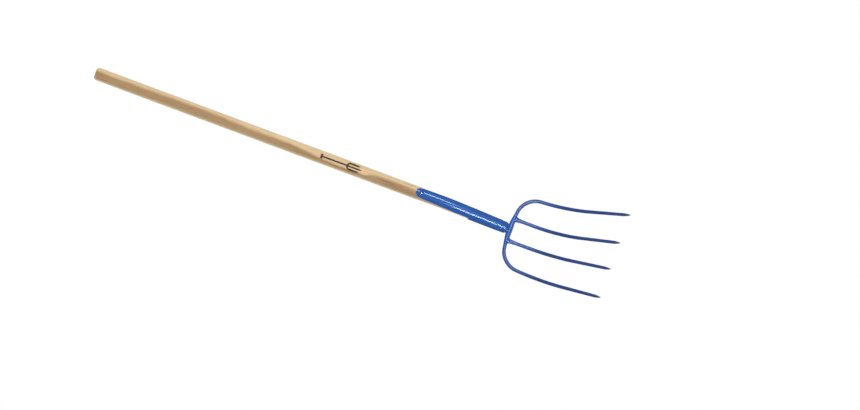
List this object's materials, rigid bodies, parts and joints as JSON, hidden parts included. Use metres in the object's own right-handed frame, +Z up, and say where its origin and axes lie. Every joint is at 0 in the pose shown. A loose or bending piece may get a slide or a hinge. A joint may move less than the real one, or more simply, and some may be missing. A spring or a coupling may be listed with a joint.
{
  "type": "hay fork",
  "caption": "Long-handled hay fork: round ash shaft in a pressed steel socket with a long riveted strap, and upswept round tines on a bowed crossbar.",
  "frame": {"origin": "on the handle's axis, half way along its bare straight part between the butt and the tip of the strap", "axes": "+X along the handle towards the tines, +Z up out of the hollow side of the tines (the side the strap lies on), +Y across the tines"},
  "size_m": [1.5144, 0.2574, 0.1196],
  "materials": {
    "varnished_ash": "clear satin varnish",
    "blue_paint": "gloss",
    "zinc_plate": "bright zinc"
  },
  "bodies": {
    "root": {"handle": "varnished_ash", "socket": "blue_paint", "tine_bow": "blue_paint", "inner_tine_left": "blue_paint", "inner_tine_right": "blue_paint", "socket_weld": "blue_paint", "inner_tine_welds": "blue_paint", "strap_rivet": "zinc_plate", "rivet_washer": "zinc_plate"}
  },
  "joints": []
}
